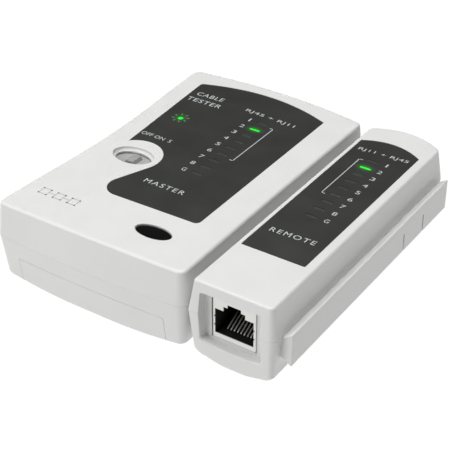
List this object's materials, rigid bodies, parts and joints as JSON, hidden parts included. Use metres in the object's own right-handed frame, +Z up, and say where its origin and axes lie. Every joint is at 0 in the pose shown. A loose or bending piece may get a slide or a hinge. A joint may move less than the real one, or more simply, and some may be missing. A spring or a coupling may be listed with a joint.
{
  "type": "network cable tester",
  "caption": "Two-piece cable tester: flat master unit with a battery, light bars, slide switch and button, and a narrow remote unit on a dovetail side rail.",
  "frame": {"origin": "on the ground under the middle of the bounding box", "axes": "+X to the units' right (towards the remote), +Y from the button end to the master's socket end, +Z up"},
  "size_m": [0.0944, 0.1025, 0.0266],
  "materials": {
    "white_abs": "fine satin texture, moulded white ABS",
    "label_film": "satin printed polyester film, dark grey",
    "green_board": "solder mask over glass-fibre board",
    "nickel_shield": "nickel-plated stamped sheet",
    "black_pbt": "glass-filled black plastic",
    "gold_contact": "gold-flashed phosphor bronze spring wire",
    "black_gloss": "polished black plastic",
    "grey_slider": "light grey plastic with fine ribs",
    "battery_jacket": "lacquered steel jacket",
    "green_lens": "green-tinted light bar and lens resin",
    "screw_steel": "zinc-plated steel",
    "red_wire": "flexible PVC sleeve",
    "black_wire": "flexible PVC sleeve"
  },
  "bodies": {
    "master": {"master_upper_casing": "white_abs", "master_lower_casing": "white_abs", "master_label": "label_film", "master_circuit_board": "green_board", "master_rj45_shield": "nickel_shield", "master_rj45_insert": "black_pbt", "master_rj45_contacts": "gold_contact", "master_rj11_housing": "black_pbt", "master_rj11_contacts": "gold_contact", "power_switch_body": "nickel_shield", "push_switch_body": "nickel_shield", "battery_9v": "battery_jacket", "battery_snap": "black_pbt", "battery_lead_red": "red_wire", "battery_lead_black": "black_wire", "power_led": "green_lens", "controller_chip": "black_pbt", "master_led_1": "green_lens", "master_led_2": "green_lens", "master_led_3": "green_lens", "master_led_4": "green_lens", "master_led_5": "green_lens", "master_led_6": "green_lens", "master_led_7": "green_lens", "master_led_8": "green_lens", "master_led_g": "green_lens", "master_screw_1": "screw_steel", "master_screw_2": "screw_steel", "master_screw_3": "screw_steel", "master_screw_4": "screw_steel"},
    "battery_door": {"battery_door": "white_abs"},
    "power_switch": {"power_switch_knob": "grey_slider", "power_switch_lever": "black_pbt"},
    "test_button": {"test_button": "black_gloss", "push_switch_plunger": "black_pbt"},
    "remote": {"remote_upper_casing": "white_abs", "remote_lower_casing": "white_abs", "remote_label": "label_film", "remote_circuit_board": "green_board", "remote_rj45_shield": "nickel_shield", "remote_rj45_insert": "black_pbt", "remote_rj45_contacts": "gold_contact", "remote_rj11_housing": "black_pbt", "remote_rj11_contacts": "gold_contact", "remote_led_1": "green_lens", "remote_led_2": "green_lens", "remote_led_3": "green_lens", "remote_led_4": "green_lens", "remote_led_5": "green_lens", "remote_led_6": "green_lens", "remote_led_7": "green_lens", "remote_led_8": "green_lens", "remote_led_g": "green_lens", "remote_screw_1": "screw_steel", "remote_screw_2": "screw_steel"}
  },
  "joints": [
    {"name": "remote_slide", "type": "slide", "parent": "master", "child": "remote", "axis": [0, -1, 0], "range_m": [0, 0.088]},
    {"name": "battery_door_slide", "type": "slide", "parent": "master", "child": "battery_door", "axis": [0, -1, 0], "range_m": [0, 0.028]},
    {"name": "power_switch_slide", "type": "slide", "parent": "master", "child": "power_switch", "axis": [1, 0, 0], "range_m": [-0.002, 0.002]},
    {"name": "test_button_press", "type": "slide", "parent": "master", "child": "test_button", "axis": [0, 0, -1], "range_m": [0, 0.0004], "stiffness_N_per_m": 400, "springref_m": -0.0003}
  ]
}
